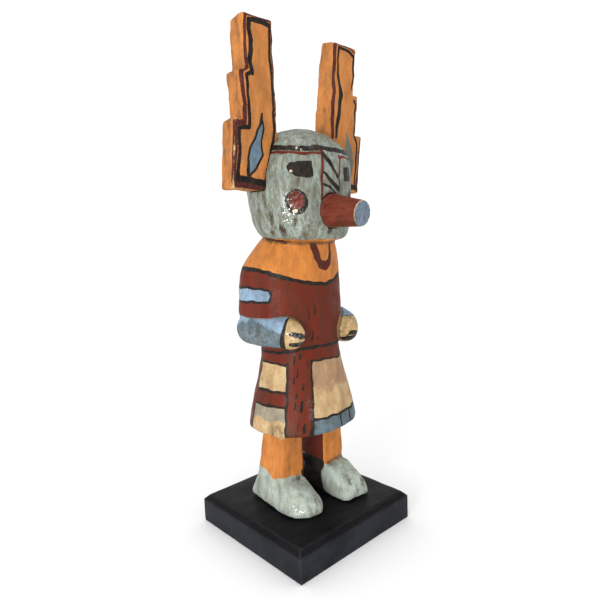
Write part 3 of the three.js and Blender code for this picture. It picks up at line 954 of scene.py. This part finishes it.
# Places where the varnish lies thick, places where brown dirt has run, and a painted shadow under
# the snout, each with its reach
VARNISH = [((-15.5, -18.0, 118.0), (10, 7, 6)), ((-7.5, -21.0, 116.5), (7, 6, 6)),
           ((-11.0, -16.2, 146.0), (8, 6, 5)), ((-16.6, -17.4, 125.4), (6, 5, 7)),
           ((-16.5, -14.0, 6.0), (7, 9, 7)), ((14.0, -17.0, 118.0), (9, 6, 5)),
           ((-24.0, -2.0, 74.0), (6, 12, 5)), ((-18.0, -17.5, 75.0), (7, 7, 7)),
           ((18.0, -16.0, 73.0), (6, 6, 6)), ((-11.0, -16.0, 43.0), (3, 5, 8))]
# The place just below the snout, 114 mm up, is painted shadow
DIRT_RUNS_AND_SHADOWS = [((-14.7, -19.2, 130.8), (1.8, 2, 3.2)), ((-16.6, -17.6, 130.0), (1.2, 2, 3)),
             ((-18.0, -15.6, 121.0), (2.6, 3, 3.2)), ((-16.4, -17.4, 118.0), (2.4, 2, 3)),
             ((-4.5, -21.6, 114.2), (6.0, 3, 3.0)), ((-7.4, -21.4, 117.5), (1.8, 2, 3.5)),
             ((-22.8, -4.6, 126.5), (4, 5, 5)), ((-21.5, -9.0, 135.0), (3.0, 3, 10)),
             ((-17.0, -12.0, 120.0), (12, 12, 12)), ((12.0, -20.0, 6.0), (9, 9, 8)),
             ((-10.0, -20.0, 4.0), (7, 8, 6)), ((-21.0, -10.0, 35.0), (9, 9, 5)),
             ((19.0, -16.0, 73.0), (7, 7, 7))]
KNOT_REACH = (3, 1.5, 1.7)

# The snout's length and droop, its root on the head, and the fillet of glue round its root
SNOUT_ROOT = (0.0, -22.5, 121.0)
SNOUT_DROOP = math.radians(7)
SNOUT_LENGTH = 13.8
SNOUT_FILLET = 0.45


def place_piece(piece, node, material):
    piece.data.materials.append(material)
    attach(piece, "root")
    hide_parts(node)


def near(points, place, reach):
    """One at the place, fading to nothing at its reach."""
    away = np.linalg.norm((points - np.array(place)) / np.array(reach), axis=1)
    return np.clip(1.3 * (1 - away), 0, 1)


def figure_dirt_and_shade(points):
    """Brown dirt and painted shade: more from the shoulders up and on the legs, darker on the head's
    lower part, and in runs, one of them painted shadow under the snout.
    """
    up = points[:, 2]
    dirt_and_shade = 0.30 + 0.15 * rising(up, 88, 94)
    dirt_and_shade += 0.25 * rising(up, 30, 20)
    dirt_and_shade += 0.5 * rising(up, 126, 118) * (up > HEAD_FOOT)
    return dirt_and_shade + sum(1.1 * near(points, place, reach) for place, reach in DIRT_RUNS_AND_SHADOWS)


def make_figure():
    piece = carved_copy("figure", voxel=0.58, smoothing=3)
    points = read_vectors(piece.data, "co")
    below_dress = rising(in_figure(points)[:, 2], 34, 31)
    write_points(piece, eased_points(piece.data, points, 3, below_dress))
    uneven(piece, depth=0.22, wavelength=9, seed=5)
    proud = standing_proud(piece, rounds=6)
    points = in_figure(read_vectors(piece.data, "co"))
    gloss = sum(near(points, place, reach) for place, reach in VARNISH)
    keep_values(piece, figure_paint(points))
    keep_values(piece, {
        "proud": proud,
        "wear": proud - 0.2,
        "dirt_and_shade": figure_dirt_and_shade(points),
        "gloss": np.clip(gloss, 0, 1),
    })
    place_piece(piece, "figure", figure_material())


def ease_tablet(piece, depth):
    """Rounds the back's edges, and most of all the back of the top end."""
    points = read_vectors(piece.data, "co")
    back = rising(depth, 3, 6)
    top_end = back * rising(in_figure(points)[:, 2] - TABLET_FOOT, 54, 57)
    points = eased_points(piece.data, points, 4, back)
    write_points(piece, eased_points(piece.data, points, 16, top_end))


def make_tablet(node, side, marks, material):
    piece = carved_copy(node, voxel=0.42, smoothing=2)
    depth = tablet_depth(in_figure(read_vectors(piece.data, "co")))
    ease_tablet(piece, depth)
    uneven(piece, depth=-0.3, wavelength=7, seed=60 + side)
    proud = standing_proud(piece, rounds=4)
    points = in_figure(read_vectors(piece.data, "co"))
    outer_edge = np.clip(1 - np.abs(depth - 0.6) / 2, 0, 1) * (points[:, 0] * side > 31)
    low = rising(points[:, 2] - TABLET_FOOT, 26, 16)
    knots = sum(near(points, place, KNOT_REACH) for place in marks["knots"])
    keep_values(piece, tablet_paint(points, marks, side))
    keep_values(piece, {
        "proud": proud,
        "wear": proud - 0.12 + 0.15 * low * outer_edge,
        "dirt_and_shade": 0.25 + marks["side_grime"] * rising(depth, 0, 2) + 0.6 * knots,
    })
    place_piece(piece, node, material)


def make_snout():
    piece = carved_copy("snout", voxel=0.3, smoothing=2)
    points = in_figure(read_vectors(piece.data, "co"))
    across, _, up = points.T
    outward = np.array([0, -math.cos(SNOUT_DROOP), -math.sin(SNOUT_DROOP)])
    along = (points - np.array(SNOUT_ROOT)) @ outward
    head_surface = -0.045 * across ** 2
    glued = np.clip(1 - np.abs(along - head_surface - 0.2) / 1.2, 0, 1)
    hollow(piece, -SNOUT_FILLET * glued)
    proud = standing_proud(piece, rounds=5)
    underside_shade = np.clip(-read_vectors(piece.data, "normal")[:, 2], 0, 1)
    worn_rim = rising(along, SNOUT_LENGTH - 1.5, SNOUT_LENGTH - 0.5) * (across < 0)
    off_end_face = SNOUT_LENGTH - 0.55 - along
    off_end_middle = np.hypot(across, up - SNOUT_ROOT[2] + 1.7) - 4.6
    keep_values(piece, {
        "red": along - (SNOUT_LENGTH - 0.3),
        "blue": inside_all(off_end_face, off_end_middle),
        "proud": proud,
        "wear": proud - 0.12 + 0.12 * worn_rim,
        # Darker towards the root, and painted shade on the underside
        "dirt_and_shade": np.clip(0.8 - along / 5, 0.25, 0.8) + 1.1 * underside_shade,
    })
    place_piece(piece, "snout", snout_material())


def make_base():
    piece = carved_copy("base", voxel=0.6, smoothing=2)
    uneven(piece, depth=0.12, wavelength=14, seed=80)
    proud = standing_proud(piece, rounds=4)
    side = 1 - np.abs(read_vectors(piece.data, "normal")[:, 2])
    keep_values(piece, {"proud": proud, "side": side})
    place_piece(piece, "base", base_material())


# Room, light and camera

# The photograph's camera, in metres, with its roll and the width of its film in millimetres
CAMERA_PLACE = Vector((-0.1459, -0.1634, 0.1261))
CAMERA_AIM = Vector((0.6658, 0.7351, -0.1276))
CAMERA_ROLL = math.radians(-2.41)
CAMERA_LENS = 31.48
SENSOR_WIDTH = 36.0

FLOOR_HALF_SIDE = 3.0
WORLD_STRENGTH = 1.08

# Each light: its name, its place and aim, its width and height in metres, and its watts
LIGHTS = [
    ("key", (-0.82, -0.30, 0.26), (0, 0, 0.1), (0.09, 0.40), 2.4),
    ("spark", (-0.50, -0.30, 0.06), (0, 0, 0.1), (0.03, 0.03), 0.9),
    ("low_spark", (-0.13, -0.16, 0.015), (-0.01, -0.02, 0.13), (0.02, 0.02), 0.05),
]


def make_camera():
    data = bpy.data.cameras.new("camera")
    data.lens = CAMERA_LENS
    data.sensor_width = SENSOR_WIDTH
    data.sensor_fit = "HORIZONTAL"
    data.clip_start = 0.01
    camera = bpy.data.objects.new("camera", data)
    bpy.context.scene.collection.objects.link(camera)
    aim = CAMERA_AIM.normalized()
    level_right = aim.cross(Vector((0, 0, 1))).normalized()
    level_up = level_right.cross(aim)
    right = level_right * math.cos(CAMERA_ROLL) + level_up * math.sin(CAMERA_ROLL)
    up = level_up * math.cos(CAMERA_ROLL) - level_right * math.sin(CAMERA_ROLL)
    turn = Matrix((right, up, -aim)).transposed().to_4x4()
    camera.matrix_world = Matrix.Translation(CAMERA_PLACE) @ turn
    bpy.context.scene.camera = camera


def make_floor():
    half = FLOOR_HALF_SIDE
    mesh = bpy.data.meshes.new("floor")
    corners = [(-half, -half, 0), (half, -half, 0), (half, half, 0), (-half, half, 0)]
    mesh.from_pydata(corners, [], [(0, 1, 2, 3)])
    floor = bpy.data.objects.new("floor", mesh)
    bpy.context.scene.collection.objects.link(floor)
    mix = Mix("floor_paper")
    color = mix.blend(mix.noise(40), shade(0.95, 0.95, 0.95), shade(0.94, 0.94, 0.94))
    mesh.materials.append(mix.finished({"Base Color": color, "Roughness": 0.8}))


def area_light(name, place, aim, size, power):
    data = bpy.data.lights.new(name, "AREA")
    data.shape = "RECTANGLE"
    data.size, data.size_y = size
    data.energy = power
    light = bpy.data.objects.new(name, data)
    light.location = place
    light.rotation_euler = (Vector(aim) - Vector(place)).to_track_quat("-Z", "Y").to_euler()
    light.visible_camera = False
    bpy.context.scene.collection.objects.link(light)


def make_lights():
    world = bpy.data.worlds.new("studio")
    world.use_nodes = True
    background = world.node_tree.nodes["Background"]
    background.inputs["Color"].default_value = shade(1, 1, 1)
    background.inputs["Strength"].default_value = WORLD_STRENGTH
    bpy.context.scene.world = world
    bpy.context.scene.view_settings.view_transform = "Standard"
    for light in LIGHTS:
        area_light(*light)


make_figure()
tablets = tablet_material()
make_tablet("tablet_right", -1, RIGHT_TABLET, tablets)
make_tablet("tablet_left", 1, LEFT_TABLET, tablets)
make_snout()
make_base()
make_floor()
make_lights()
make_camera()
